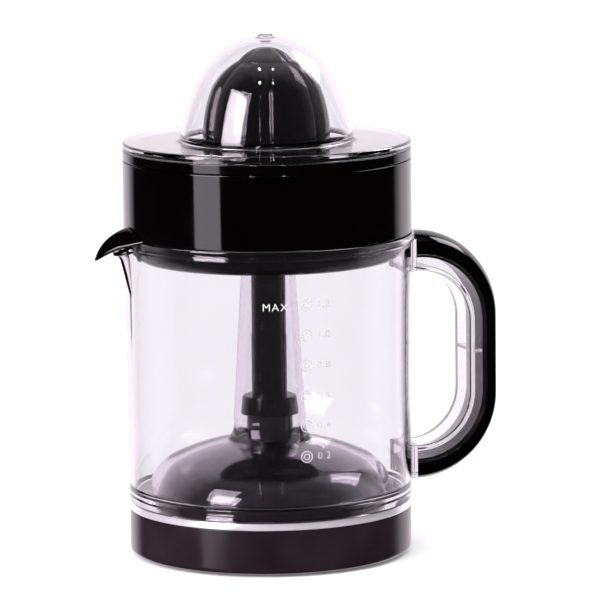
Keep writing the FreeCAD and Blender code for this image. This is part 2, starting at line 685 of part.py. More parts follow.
def make_press_carriage():
    cup = new_body("thrust_cup")
    revolve(cup, [(0, k.cup_low), (k.cup_radius, k.cup_low), (k.cup_radius, k.cup_flange_low),
                  (k.cup_flange, k.cup_flange_low), (k.cup_flange, k.cup_flange_high),
                  (k.spindle_radius + k.slack, k.cup_flange_high), (k.spindle_radius + k.slack, k.cup_seat),
                  (0, k.cup_seat)])
    coil_low = k.floor_top + k.spring_wire + k.running
    coil_high = k.cup_low - k.spring_wire - k.running
    path = DOC.addObject("Part::Polygon", "spring_path")
    runs = SPRING_RUNS * int(k.spring_turns.value)
    rise = (coil_high - coil_low).value / runs
    path.Nodes = [FreeCAD.Vector(*polar(k.spring_radius.value, 360 / SPRING_RUNS * run),
                                 coil_low.value + rise * run) for run in range(runs + 1)]
    wire = DOC.addObject("Part::RegularPolygon", "spring_wire")
    wire.Polygon = 8
    wire.setExpression("Circumradius", k.spring_wire.text)
    wire.setExpression("Placement.Base.x", k.spring_radius.text)
    wire.setExpression("Placement.Base.z", coil_low.text)
    wire.Placement.Rotation = FreeCAD.Rotation(FreeCAD.Vector(1, 0, 0), 90)
    spring = DOC.addObject("Part::Sweep", "return_spring")
    spring.Sections = [wire]
    spring.Spine = (path, [])
    spring.Solid = True
    spring.Transition = "Right corner"
    part("return_spring", spring)


def make_switch():
    case = block("switch_case", -k.switch_half, k.switch_half, -k.switch_far, -k.switch_near,
                 k.floor_top, k.switch_top)
    well = cylinder("switch_well", k.plunger_radius + k.slack, k.plunger_low - 3.2, k.switch_top + 1, 0,
                    k.plunger_place)
    part("switch_body", less("switch_body", case, well))
    part("switch_plunger", cylinder("switch_plunger", k.plunger_radius, k.plunger_low, k.plunger_high,
                                    0, k.plunger_place))


# ---------------------------------------------------------------- spindle


def make_spindle():
    part("spindle", cylinder("spindle", k.spindle_radius, k.spindle_low, k.spindle_top))
    collar = new_body("drip_collar")
    revolve(collar, [(k.collar_cavity, k.collar_low), (k.collar_low_radius, k.collar_low),
                     (k.collar_top_radius, k.collar_top), (k.spindle_radius, k.collar_top),
                     (k.spindle_radius, k.collar_roof), (k.collar_cavity, k.collar_roof)])
    sleeve = new_body("drive_sleeve")
    revolve(sleeve, [(k.spindle_radius, k.collar_top), (k.sleeve_radius, k.collar_top),
                     (k.sleeve_radius, k.sleeve_step), (k.sleeve_upper, k.sleeve_step + 0.6),
                     (k.sleeve_upper, k.sleeve_shoulder), (k.spindle_radius, k.sleeve_shoulder)])
    corners = [polar(k.hexagon * (2 / math.sqrt(3)), 60 * turn) for turn in range(6)]
    extrude(sleeve, lambda sketch: outline(sketch, corners), k.sleeve_shoulder, k.hexagon_top)
    extrude(sleeve, lambda sketch: circles(sketch, k.spindle_radius, [(0, 0)]), k.sleeve_shoulder - 1,
            k.spindle_top, cuts=True)


# ---------------------------------------------------------------- jug and handle


def handle_band(start, inner, outer, high=k.handle_high, low=k.handle_low):
    """Outline of a D-shaped band between two offsets from the split line of the handle."""
    far, near = k.handle_split + outer, k.handle_split + inner
    return [(start, high + far), (k.handle_centre, high + far, -far),
            (k.handle_centre + far, high), (k.handle_centre + far, low, -far),
            (k.handle_centre, low - far), (start, low - far),
            (start, k.handle_low - near), (k.handle_centre, k.handle_low - near, near),
            (k.handle_centre + near, k.handle_low), (k.handle_centre + near, k.handle_high, near),
            (k.handle_centre, k.handle_high + near), (start, k.handle_high + near)]


def make_jug():
    body = new_body("jug")
    inner_foot = k.jug_foot - k.jug_wall
    inner_top = k.jug_radius - k.jug_wall
    outer_dome = k.inner_dome + k.shell
    dome_high = k.dome_top + 0.9
    side, knee, last, side_bend, top_bend = dome_points(
        outer_dome, k.jug_floor, dome_high + k.shell, k.column_base + 3.0)
    side_in, knee_in, last_in, side_bend_in, top_bend_in = dome_points(
        k.inner_dome, k.dome_shoulder, dome_high, k.column_base)
    inner_base = k.column_base - k.column_wall
    inner_tip = k.column_tip - k.column_wall
    revolve(body, [
        (outer_dome, k.jug_bottom), (k.spigot_outer - 2.4, k.jug_bottom),
        (k.spigot_outer - 2.4, k.spigot_low), (k.spigot_outer, k.spigot_low),
        (k.spigot_outer, k.jug_bottom), (k.jug_foot - 0.8, k.jug_bottom), (k.jug_foot, k.jug_bottom + 0.8),
        (k.jug_radius, k.jug_rim - k.lip_depth - 1.2), (k.lip_radius, k.jug_rim - k.lip_depth),
        (k.lip_radius, k.jug_rim - 0.6), (k.lip_radius - 0.6, k.jug_rim), (inner_top, k.jug_rim),
        (inner_foot, k.jug_floor + 4.0, -4.0), (inner_foot - 4.0, k.jug_floor), (outer_dome, k.jug_floor)])
    add_spout(body)
    column = new_body("jug_column")
    revolve(column, [
        (k.inner_dome, k.jug_bottom), (outer_dome, k.jug_bottom), side + (side_bend,), knee + (top_bend,),
        last + (-12.0,), (k.column_base, k.column_foot + 6.0), (k.column_tip, k.column_top),
        (inner_tip, k.column_top), (inner_base, k.column_foot + 4.0), last_in + (-top_bend_in,),
        knee_in + (-side_bend_in,), side_in])


def make_jug_handle():
    """The clear inner half of the handle: a channel with a pad at each end that meets the jug's wall."""
    body = new_body("jug_handle")
    wall_start = k.jug_foot - 0.9
    slab(body, handle_band(wall_start, -k.handle_channel, as_size(0)), k.handle_width)
    for low, high in ((k.handle_high + k.handle_split - k.handle_channel,
                       k.handle_high + k.handle_split + k.handle_cover),
                      (k.handle_low - k.handle_split - k.handle_cover,
                       k.handle_low - k.handle_split + k.handle_channel)):
        slab(body, box_points(wall_start, k.handle_root, low, high), k.handle_width)
    slab(body, handle_band(k.handle_root, k.channel_wall - k.handle_channel, as_size(0)),
         k.handle_width - k.channel_wall * 2, cuts=True)
    rib_low = k.handle_centre + k.handle_split - k.handle_channel + 1.0
    slab(body, box_points(rib_low, k.handle_centre + k.handle_split - k.tongue - k.gap,
                          k.rib_height - 0.8, k.rib_height + 0.8), k.handle_width - 1.0)
    slope = (k.jug_radius - k.jug_foot) / (k.jug_rim - k.lip_depth - 1.2 - k.jug_bottom - 0.8)
    low, high = as_size(28.0), as_size(152.2)
    revolve(body, [(0, low), (k.jug_foot + slope * (low - k.jug_bottom - 0.8), low),
                   (k.jug_foot + slope * (high - k.jug_bottom - 0.8), high), (0, high)], cuts=True)


def spout_plan(root, half, tip, nose):
    """A blunt wedge in plan, pointing to -X."""
    return [(-root, -half), (-root, half), (-tip, nose), (-tip, -nose)]


def add_spout(body):
    top = k.jug_rim
    wall = k.spout_wall
    loft(body, "XY_Plane", [
        (k.spout_foot, spout_plan(as_size(67.6), as_size(2.4), k.jug_radius + 0.3, as_size(0.5))),
        (top, spout_plan(as_size(67.6), k.spout_half, k.spout_tip, as_size(1.8)))])
    loft(body, "XY_Plane", [
        (k.spout_foot + 3.0, spout_plan(as_size(58.0), as_size(1.2), k.jug_radius - 0.9, as_size(0.2))),
        (top + 1.0, spout_plan(as_size(58.0), k.spout_half * 1.55, k.spout_tip - wall * 1.4,
                               as_size(0.6)))], cuts=True)
    lip_start = -k.jug_radius + 1.0
    slab(body, [(lip_start, top - 1.7), (lip_start, top + 1.0), (-k.spout_tip - 2.0, top + 1.0),
                (-k.spout_tip - 2.0, top - 7.2), (-k.spout_tip + 8.5, top - 4.2)],
         k.spout_half * 2 + 5.0, cuts=True)


def make_handle_cover():
    body = new_body("handle_cover")
    start = k.handle_root + k.slack
    upper, lower = k.handle_high + k.cover_rise, k.handle_low - k.cover_drop
    slab(body, handle_band(start, as_size(0), k.handle_cover, upper, lower), k.handle_width)
    reach = (k.handle_split + k.handle_cover).value

    def on_the_back(box):
        flat = box.YLength < 1e-4 and box.XMax > k.handle_centre.value - 1e-3
        high = box.ZMax > upper.value + reach - 1e-3
        low = box.ZMin < lower.value - reach + 1e-3
        return flat and (high or low or box.XMax > k.handle_centre.value + reach - 1e-3)

    round_edges(body, k.cover_edge, on_the_back)
    slab(body, handle_band(start + 4.0, -k.tongue, as_size(0.5)),
         k.handle_width - k.channel_wall * 2 - k.gap * 2)


# ---------------------------------------------------------------- collector, strainer and cover


def make_collector():
    body = new_body("collector")
    band_inner = k.band_radius - k.band_wall
    skirt_inner = k.skirt_radius - k.skirt_wall
    bowl_high = k.bowl_low + k.skirt_wall
    step_high = k.band_low + k.band_wall
    chimney_outer = k.chimney_inner + k.chimney_wall
    tube_outer = k.tube_inner + k.tube_wall
    inner_corner = k.bowl_corner - k.skirt_wall
    revolve(body, [
        (k.chimney_inner, k.bowl_low), (k.skirt_radius - k.bowl_corner, k.bowl_low, k.bowl_corner),
        (k.skirt_radius, k.bowl_low + k.bowl_corner), (k.skirt_radius, k.band_low),
        (k.band_radius, k.band_low), (k.band_radius, k.band_top), (band_inner, k.band_top),
        (band_inner, step_high), (skirt_inner, step_high),
        (skirt_inner, bowl_high + inner_corner, -inner_corner), (skirt_inner - inner_corner, bowl_high),
        (chimney_outer, bowl_high + 1.0), (chimney_outer, k.chimney_top), (tube_outer, k.chimney_top),
        (tube_outer, k.tube_top), (k.tube_inner, k.tube_top),
        (k.tube_inner, k.chimney_top - k.chimney_wall), (k.chimney_inner, k.chimney_top - k.chimney_wall)])
    slot = extrude(body, lambda sketch: outline(sketch, box_points(20, 54, -2.6, 2.6)),
                   k.bowl_low - 1, k.bowl_low + 5.0, cuts=True)
    repeat_round(body, slot, 12, cuts=True)


def arch(half, foot, eave, ridge):
    """A roofed section of the spout hood: upright sides up to the eaves, then a ridge."""
    return [(-half, foot), (half, foot), (half, eave), (0, ridge), (-half, eave)]


def make_hood():
    """The beak that roofs the jug's spout: four sections outside, three inside to hollow it."""
    body = new_body("pouring_hood")
    low = k.band_low
    band = k.band_radius
    loft(body, "YZ_Plane", [
        (-band + 2.6, arch(15.5, low + 0.8, low + 1.8, low + 6.4)),
        (-band - 7.6, arch(9.5, low - 2.7, low - 1.2, low + 2.7)),
        (-band - 15.2, arch(4.2, low - 7.4, low - 5.9, low - 2.9)),
        (-band - 18.2, arch(1.8, low - 10.0, low - 8.9, low - 7.6))])
    loft(body, "YZ_Plane", [
        (-band - 0.4, arch(12.4, low - 3.0, low - 0.2, low + 4.2)),
        (-band - 7.6, arch(7.9, low - 5.4, low - 2.4, low + 0.9)),
        (-band - 15.2, arch(2.6, low - 11.0, low - 7.3, low - 5.0))], cuts=True)
    revolve(body, [(0, low - 20.0), (band, low - 20.0), (band, low + 20.0), (0, low + 20.0)], cuts=True)


def make_strainer():
    body = new_body("strainer")
    basket_inner = k.basket_radius - k.basket_wall
    floor_high = k.basket_low + k.basket_floor
    revolve(body, [
        (k.hub_inner, k.basket_low), (k.basket_radius, k.basket_low), (k.basket_radius, k.rim_low),
        (k.rim_radius, k.rim_low), (k.rim_radius, k.rim_top), (k.rim_inner, k.rim_top),
        (k.rim_inner, k.ledge_top), (basket_inner, k.ledge_top), (basket_inner, floor_high),
        (k.hub_outer, floor_high), (k.hub_outer, k.hub_top), (k.hub_inner, k.hub_top)])
    slot = extrude(body, lambda sketch: outline(sketch, box_points(24, 61, -0.9, 0.9)),
                   k.basket_low - 1, floor_high + 1, cuts=True)
    repeat_round(body, slot, 40, cuts=True)


def make_dust_cover():
    body = new_body("dust_cover")
    wall = k.hood_wall
    outer = [(k.hood_radius + 2.2, k.brim_top, -3.0), (k.hood_radius, k.hood_foot, 100.0),
             (k.hood_knee, k.hood_knee_height, 40.7), (k.hood_crown, k.hood_crown_height, 29.4)]
    inner = [(0, k.nub_top - 2.9), (1.5, k.nub_top - 2.9, -28.0),
             (k.hood_crown - 0.6, k.hood_crown_height - 2.1, -39.0),
             (k.hood_knee - wall, k.hood_knee_height - 0.9, -98.0), (k.hood_radius - wall, k.hood_foot)]
    ring_outer = k.rim_inner - k.gap
    revolve(body, [
        (k.hood_radius - wall, k.brim_plate), (ring_outer - 1.7, k.brim_plate),
        (ring_outer - 1.7, k.ledge_top + k.gap), (ring_outer, k.ledge_top + k.gap),
        (ring_outer, k.brim_low), (k.brim_radius, k.brim_low), (k.brim_radius, k.brim_top - 1.0, 1.0),
        (k.brim_radius - 1.0, k.brim_top)] + outer
        + [(k.nub_radius + 1.2, 253.0), (k.nub_radius, 253.4), (k.nub_radius - 0.6, k.nub_top),
           (0, k.nub_top)] + inner)


# ---------------------------------------------------------------- cones


def cone_curve(radius, waist, knee_radius, knee, mouth, shoulder):
    """The side of a cone: upright, then two arcs in to its mouth."""
    side_bend = side_radius(radius.value - knee_radius.value, knee.value - waist.value)
    return [(radius, waist, side_bend), (knee_radius, knee, 34.2), (mouth, shoulder)]


def make_cones():
    shell = k.cone_shell
    knee = k.cone_waist + 26.7
    knee_radius = k.cone_radius - 6.4
    body = new_body("large_cone")
    side = cone_curve(k.cone_radius, k.cone_waist, knee_radius, knee, k.cone_mouth + 0.6, k.cone_shoulder)
    inside = cone_curve(k.cone_radius - shell, k.cone_waist, knee_radius - shell, knee - 0.6,
                        k.cone_mouth, k.cone_shoulder - 2.0)
    back = [inside[2], (inside[1][0], inside[1][1], -inside[0][2]), (inside[0][0], inside[0][1])]
    back[0] = (back[0][0], back[0][1], -34.2)
    revolve(body, [(k.cone_radius - shell, k.cone_low), (k.cone_radius, k.cone_low)] + side + back)
    fin = [(k.cone_radius - 1.5, k.cone_low), (k.cone_radius + k.fin_height, k.cone_low)]
    fin += cone_curve(k.cone_radius + k.fin_height, k.cone_waist, knee_radius + k.fin_height, knee + 0.3,
                      k.cone_mouth + 1.0, k.cone_shoulder + 0.4)
    fin += [(k.cone_mouth, k.cone_shoulder - 0.4, -34.2),
            (knee_radius - 1.2, knee - 0.3, -side[0][2]), (k.cone_radius - 1.5, k.cone_waist)]
    ridge = slab(body, fin, k.fin_width)
    repeat_round(body, ridge, 6)
    body.Placement = FreeCAD.Placement(FreeCAD.Vector(0, 0, 0),
                                       FreeCAD.Rotation(FreeCAD.Vector(0, 0, 1), CONE_TURN))

    tip = new_body("small_cone")
    bore = k.socket_radius + k.gap
    boss = k.socket_radius + 2.0
    ceiling = k.socket_top + 3.0
    revolve(tip, [(k.tip_base - 2.0, k.cone_low + 0.5), (k.tip_base, k.cone_low + 0.5),
                  (k.tip_radius, k.cone_shoulder - 0.6, 13.5), (1.0, k.tip_top), (0, k.tip_top),
                  (0, ceiling),
                  (bore, ceiling), (bore, k.cone_low + 0.5), (boss, k.cone_low + 0.5),
                  (boss, ceiling + 4.0), (boss + 1.4, ceiling + 4.0)])

    socket = new_body("drive_socket")
    extrude(socket, lambda sketch: circles(sketch, k.socket_radius, [(0, 0)]), k.socket_low, k.socket_top)
    corners = [polar((k.hexagon + k.gap) * (2 / math.sqrt(3)), 60 * turn) for turn in range(6)]
    extrude(socket, lambda sketch: outline(sketch, corners), k.socket_low - 1, k.hexagon_top + 1.0,
            cuts=True)


# ---------------------------------------------------------------- build, check and write


def check_document():
    DOC.recompute()
    for item in DOC.Objects:
        if "Invalid" in item.State or "Error" in item.State:
            raise RuntimeError("%s (%s) failed: %s" % (item.Name, item.Label, item.State))
    for item in PARTS:
        if item.Shape.isNull() or not item.Shape.isValid() or not item.Shape.Solids:
            raise RuntimeError("%s has no valid solid" % item.Label)


def write_parts():
    os.makedirs("parts", exist_ok=True)
    for item in PARTS:
        item.Shape.exportStep("parts/%s.step" % item.Label)
        print("%-22s %9.1f mm3 %2d" % (item.Label, item.Shape.Volume, len(item.Shape.Solids)))


DOC.recompute()
make_base_housing()
make_trim_ring()
make_motor_cover()
make_bottom_cover()
make_base_fasteners()
make_cord_inlet()
make_gear_plate()
make_bearings()
make_motor()
make_press_carriage()
make_switch()
make_gears()
make_spindle()
make_jug()
make_jug_handle()
make_handle_cover()
make_collector()
make_hood()
make_strainer()
make_dust_cover()
make_cones()
check_document()
write_parts()
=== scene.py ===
import json
import math
import bpy
import bmesh
from mathutils import Matrix, Vector


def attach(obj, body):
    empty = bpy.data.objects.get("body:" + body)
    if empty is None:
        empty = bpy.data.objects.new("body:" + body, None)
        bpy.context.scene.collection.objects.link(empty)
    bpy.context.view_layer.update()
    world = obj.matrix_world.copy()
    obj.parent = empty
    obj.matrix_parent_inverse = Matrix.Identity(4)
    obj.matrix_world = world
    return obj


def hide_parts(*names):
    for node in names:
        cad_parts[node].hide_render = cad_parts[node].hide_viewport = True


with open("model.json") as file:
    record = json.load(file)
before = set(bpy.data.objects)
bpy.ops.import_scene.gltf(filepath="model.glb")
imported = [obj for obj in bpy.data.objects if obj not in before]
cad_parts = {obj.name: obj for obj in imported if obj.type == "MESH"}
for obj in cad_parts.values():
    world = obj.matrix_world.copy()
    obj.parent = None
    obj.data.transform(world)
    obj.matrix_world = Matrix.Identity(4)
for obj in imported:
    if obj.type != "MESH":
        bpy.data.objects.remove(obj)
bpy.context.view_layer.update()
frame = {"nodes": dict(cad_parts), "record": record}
MM = 0.001
CAMERA_TURN = math.radians(-17.0)


# ---------------------------------------------------------------- materials


def material(name, colour, rough=(0.1, 0.2), grain=(400.0, 0.02), shade=(60.0, 0.12), **settings):
    """A Principled material whose colour, roughness and surface vary a little, as moulded parts do."""
    made = bpy.data.materials.new(name)
    made.use_nodes = True
    nodes, links = made.node_tree.nodes, made.node_tree.links
    shader = nodes["Principled BSDF"]
    place = nodes.new("ShaderNodeTexCoord")
    patches = nodes.new("ShaderNodeTexNoise")
    patches.inputs["Scale"].default_value = shade[0]
    patches.inputs["Detail"].default_value = 4.0
    links.new(place.outputs["Object"], patches.inputs["Vector"])
    ramp = nodes.new("ShaderNodeValToRGB")
    ramp.color_ramp.elements[0].position = 0.3
    ramp.color_ramp.elements[1].position = 0.7
    for element, sign in zip(ramp.color_ramp.elements, (-1, 1)):
        element.color = [min(1.0, c * (1 + sign * shade[1])) for c in colour] + [1.0]
    links.new(patches.outputs["Fac"], ramp.inputs["Fac"])
    links.new(ramp.outputs["Color"], shader.inputs["Base Color"])
    spread = nodes.new("ShaderNodeMapRange")
    spread.inputs["From Min"].default_value = 0.3
    spread.inputs["From Max"].default_value = 0.7
    spread.inputs["To Min"].default_value = rough[0]
    spread.inputs["To Max"].default_value = rough[1]
    links.new(patches.outputs["Fac"], spread.inputs["Value"])
    links.new(spread.outputs["Result"], shader.inputs["Roughness"])
    fine = nodes.new("ShaderNodeTexNoise")
    fine.inputs["Scale"].default_value = grain[0]
    fine.inputs["Detail"].default_value = 3.0
    links.new(place.outputs["Object"], fine.inputs["Vector"])
    bump = nodes.new("ShaderNodeBump")
    bump.inputs["Strength"].default_value = grain[1]
    bump.inputs["Distance"].default_value = 0.001
    links.new(fine.outputs["Fac"], bump.inputs["Height"])
    links.new(bump.outputs["Normal"], shader.inputs["Normal"])
    for setting, value in settings.items():
        shader.inputs[setting.replace("_", " ")].default_value = value
    return made


def brushed(made, stretch):
    """Stretches the fine grain of a metal into lines along one direction."""
    nodes, links = made.node_tree.nodes, made.node_tree.links
    place = [n for n in nodes if n.type == "TEX_COORD"][0]
    fine = [n for n in nodes if n.type == "TEX_NOISE"][1]
    scaled = nodes.new("ShaderNodeMapping")
    scaled.inputs["Scale"].default_value = stretch
    links.new(place.outputs["Object"], scaled.inputs["Vector"])
    links.new(scaled.outputs["Vector"], fine.inputs["Vector"])
    return made


SLOTS = {
    "black_gloss": material("black_gloss", (0.0007, 0.0003, 0.0005), (0.035, 0.085), (90.0, 0.014),
                            (35.0, 0.5)),
    "black_satin": material("black_satin", (0.010, 0.008, 0.010), (0.22, 0.34), (900.0, 0.05),
                            (50.0, 0.25)),
    "clear_plastic": material("clear_plastic", (0.955, 0.935, 0.965), (0.0, 0.03), (45.0, 0.012),
                              (25.0, 0.012), Transmission_Weight=1.0, IOR=1.49),
    "chrome_trim": material("chrome_trim", (0.70, 0.67, 0.71), (0.14, 0.22), (700.0, 0.02), (80.0, 0.06),
                            Metallic=0.55),
    "rubber_black": material("rubber_black", (0.018, 0.017, 0.018), (0.55, 0.75), (1500.0, 0.2),
                             (90.0, 0.3)),
    "steel": brushed(material("steel", (0.50, 0.50, 0.51), (0.24, 0.36), (300.0, 0.08), (70.0, 0.1),
                              Metallic=1.0), (1.0, 1.0, 12.0)),
    "core_steel": brushed(material("core_steel", (0.17, 0.18, 0.20), (0.35, 0.5), (300.0, 0.5),
                                   (60.0, 0.2), Metallic=0.8), (0.2, 0.2, 9.0)),
    "bronze": material("bronze", (0.42, 0.27, 0.13), (0.35, 0.5), (1200.0, 0.15), (150.0, 0.2),
                       Metallic=1.0),
    "copper_wire": brushed(material("copper_wire", (0.52, 0.17, 0.06), (0.2, 0.35), (260.0, 0.9),
                                    (90.0, 0.2), Metallic=0.9), (1.0, 1.0, 10.0)),
    "white_nylon": material("white_nylon", (0.74, 0.73, 0.68), (0.38, 0.5), (800.0, 0.05), (50.0, 0.05),
                            Subsurface_Weight=0.1, Subsurface_Scale=0.002),
    "brass_pinion": material("brass_pinion", (0.62, 0.43, 0.16), (0.2, 0.32), (700.0, 0.08),
                             (90.0, 0.12), Metallic=1.0),
    "switch_black": material("switch_black", (0.02, 0.02, 0.023), (0.4, 0.55), (900.0, 0.1),
                             (70.0, 0.3)),
}
BASE_BLACK = material("base_black", (0.0125, 0.0080, 0.0112), (0.13, 0.20), (90.0, 0.014), (30.0, 0.35),
                      Specular_IOR_Level=0.26)
CONE_BLACK = material("cone_black", (0.0012, 0.0006, 0.0010), (0.03, 0.07), (90.0, 0.012), (35.0, 0.4),
                      Specular_IOR_Level=0.3)
# The motor dome's black is lifted to dark grey: painted reflection, standing in for the grey sheen that
# reflected light gives it through the jug.
MOTOR_BLACK_PAINTED_SHEEN = material("motor_black_painted_sheen", (0.026, 0.020, 0.026), (0.035, 0.08), (90.0, 0.012), (30.0, 0.3))
MARKS = material("moulded_marks", (0.60, 0.57, 0.62), (0.16, 0.26), (900.0, 0.03), (200.0, 0.05),
                 Transmission_Weight=0.35, IOR=1.3)
PRINT = material("white_print", (0.86, 0.85, 0.87), (0.4, 0.55), (1500.0, 0.1), (400.0, 0.05))

for row in frame["record"]["subparts"]:
    mesh = frame["nodes"][row["node"]].data
    mesh.materials.clear()
    mesh.materials.append(SLOTS[row["material_slot"]])


# ---------------------------------------------------------------- mesh helpers


def finish_piece(name, mesh, body, slot, nodes=(), made_of=None, bevel=0.0):
    """Links a mesh as a piece that rides on a body and stands for CAD nodes."""
    tidy = bmesh.new()
    tidy.from_mesh(mesh)
    bmesh.ops.remove_doubles(tidy, verts=tidy.verts, dist=1e-7)
    bmesh.ops.recalc_face_normals(tidy, faces=tidy.faces)
    tidy.to_mesh(mesh)
    tidy.free()
    mesh.materials.append(made_of or SLOTS[slot])
    mesh.polygons.foreach_set("use_smooth", [True] * len(mesh.polygons))
    mesh.set_sharp_from_angle(angle=math.radians(32))
    piece = bpy.data.objects.new(name, mesh)
    bpy.context.scene.collection.objects.link(piece)
    if bevel:
        rounding = piece.modifiers.new("rounding", "BEVEL")
        rounding.width = bevel * MM
        rounding.segments = 3
        rounding.angle_limit = math.radians(35)
        rounding.harden_normals = False
    weighted = piece.modifiers.new("normals", "WEIGHTED_NORMAL")
    weighted.keep_sharp = not bevel
    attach(piece, body)
    if nodes:
        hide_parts(*nodes)
    return piece


def arc(start, end, radius, steps):
    """Points between start and end on an arc; a positive radius has its centre left of the way."""
    (ax, ay), (bx, by) = start, end
    chord = math.hypot(bx - ax, by - ay)
    rise = math.sqrt(max(radius * radius - chord * chord / 4, 0.0))
    side = math.copysign(rise, radius)
    cx = (ax + bx) / 2 - (by - ay) / chord * side
    cy = (ay + by) / 2 + (bx - ax) / chord * side
    first, last = math.atan2(ay - cy, ax - cx), math.atan2(by - cy, bx - cx)
    turn = (last - first) % (2 * math.pi)
    if radius < 0:
        turn -= 2 * math.pi
    return [(cx + abs(radius) * math.cos(first + turn * i / steps),
             cy + abs(radius) * math.sin(first + turn * i / steps)) for i in range(1, steps)]


def fillet(before, here, after, radius, steps=5):
    """The rounded corner at a point between two straight runs."""
    a, h, b = Vector(before), Vector(here), Vector(after)
    inward, outward = (a - h).normalized(), (b - h).normalized()
    half = inward.angle(outward) / 2
    reach = min(radius / math.tan(half), (a - h).length * 0.49, (b - h).length * 0.49)
    bend = reach * math.tan(half)
    start, end = h + inward * reach, h + outward * reach
    turns_left = (h - a).x * (b - h).y - (h - a).y * (b - h).x > 0
    middle = arc(tuple(start), tuple(end), bend if turns_left else -bend, steps)
    return [tuple(start)] + middle + [tuple(end)]


def trace(points, steps=14):
    """A closed outline: each point is (across, up, bend of the run that leaves it, corner radius)."""
    whole = [tuple(p) + (0.0,) * (4 - len(p)) for p in points]
    out = []
    for index, (across, up, bend, corner) in enumerate(whole):
        before, after = whole[index - 1], whole[(index + 1) % len(whole)]
        if corner and not bend and not before[2]:
            out += fillet(before[:2], (across, up), after[:2], corner)
        else:
            out.append((across, up))
        if bend:
            out += arc((across, up), after[:2], bend, steps)
    return out


def even_angles(count):
    return [2 * math.pi * i / count for i in range(count)]


def lathe(name, outline, body, slot, nodes=(), angles=None, shape=None, made_of=None):
    """Turns a closed outline in mm round the drive axis; shape may move each point."""
    angles = angles or even_angles(160)
    vertices, rings = [], []
    for across, up in outline:
        if across < 1e-6 and shape is None:
            rings.append([len(vertices)] * len(angles))
            vertices.append((0.0, 0.0, up * MM))
            continue
        ring = []
        for turn in angles:
            place = (across * math.cos(turn), across * math.sin(turn), up)
            if shape:
                place = shape(across, up, turn)
            ring.append(len(vertices))
            vertices.append(tuple(v * MM for v in place))
        rings.append(ring)
    faces = []
    for index, ring in enumerate(rings):
        above = rings[(index + 1) % len(rings)]
        for i in range(len(angles)):
            j = (i + 1) % len(angles)
            corners = []
            for vertex in (ring[i], ring[j], above[j], above[i]):
                if vertex not in corners:
                    corners.append(vertex)
            if len(corners) > 2:
                faces.append(corners)
    mesh = bpy.data.meshes.new(name)
    mesh.from_pydata(vertices, [], faces)
    return finish_piece(name, mesh, body, slot, nodes, made_of)


def sweep(name, loops, body, slot, nodes=(), bevel=0.0):
    """Skins a row of closed loops of points in mm, with a cap at each end."""
    count = len(loops[0])
    vertices = [tuple(v * MM for v in point) for loop in loops for point in loop]
    faces = []
    rows = len(loops)
    for row in range(rows - 1):
        for i in range(count):
            j = (i + 1) % count
            below, above = row * count, (row + 1) * count
            faces.append((below + i, below + j, above + j, above + i))
    faces.append(tuple(range(count)))
    faces.append(tuple(range((rows - 1) * count, rows * count)))
    mesh = bpy.data.meshes.new(name)
    mesh.from_pydata(vertices, [], faces)
    return finish_piece(name, mesh, body, slot, nodes, bevel=bevel)


def dome(radius, shoulder, top, stop):
    """Side, knee and stopping point of a dome of two arcs that meet smoothly, and their radii."""
    rise = top - shoulder
    corner = rise * 0.65
    crown = (radius * radius - radius * corner * 2 + rise * rise) / ((rise - corner) * 2)
    middle = radius - corner
    share = corner / (crown - corner)
    knee = (middle * (1 + share), shoulder + (crown - rise) * share)
    last = (stop, top - crown + math.sqrt(crown * crown - stop * stop))
    return (radius, shoulder), knee, last, corner, crown


def ease(value):
    value = min(max(value, 0.0), 1.0)
    return value * value * (3 - 2 * value)


# ---------------------------------------------------------------- base


lathe("base_shell", trace([
    (66.6, 1.0, 2.4), (69.0, 3.4), (69.0, 22.5, 0, 0.5), (56.0, 22.5), (56.0, 20.0), (66.4, 20.0),
    (66.4, 1.0)]), "base", "black_gloss", ["base_housing"], made_of=BASE_BLACK)
lathe("trim_ring", trace([
    (66.2, 22.5), (69.0, 22.5, 0, 0.3), (69.25, 23.0, 6.0), (68.3, 25.7), (66.2, 25.7)]),
    "base", "chrome_trim", ["chrome_trim_ring"])

side, knee, last, side_bend, top_bend = dome(55.0, 28.0, 54.0, 11.2)
side_in, knee_in, last_in, side_bend_in, top_bend_in = dome(52.6, 28.0, 51.6, 7.0)
lathe("motor_dome", trace([
    (52.6, 22.5), (65.9, 22.5), (65.9, 24.1, 0, 0.5), (55.0, 24.1), side + (side_bend,),
    knee + (top_bend,), last, (11.2, 71.5, 0, 0.6), (7.0, 71.5), last_in + (-top_bend_in,),
    knee_in + (-side_bend_in,), side_in], 24),
    "base", "black_gloss", ["motor_cover"], made_of=MOTOR_BLACK_PAINTED_SHEEN)

# ---------------------------------------------------------------- spindle seen through the jug

lathe("shaft_collar", trace([
    (12.2, 68.2), (14.2, 68.2, 0, 0.4), (13.1, 77.2, 0, 0.9), (4.0, 77.2), (4.0, 75.0), (12.2, 75.0)]),
    "spindle_assembly", "black_gloss", ["drip_collar"])
lathe("shaft_sleeve", trace([
    (4.0, 77.2), (8.65, 77.2), (8.65, 107.0), (8.4, 107.6), (8.4, 186.0, 0, 0.8), (4.0, 186.0)]),
    "spindle_assembly", "black_gloss", ["drive_sleeve"])
HEX_CORNER = 5.5 * 2 / math.sqrt(3)
HEX = [(HEX_CORNER * math.cos(math.pi / 3 * i), HEX_CORNER * math.sin(math.pi / 3 * i))
       for i in range(6)]
sweep("shaft_hexagon", [[(x * s, y * s, z) for x, y in HEX]
                        for s, z in ((1, 186.02), (1, 213.2), (0.88, 214.0))],
      "spindle_assembly", "black_gloss", bevel=0.25)


# ---------------------------------------------------------------- jug


def wall_radius(up):
    return 69.35 + (up - 26.8) / (152.3 - 26.8) * 0.65


SPOUT_REACH = 7.0
SPOUT_FOOT = 129.0


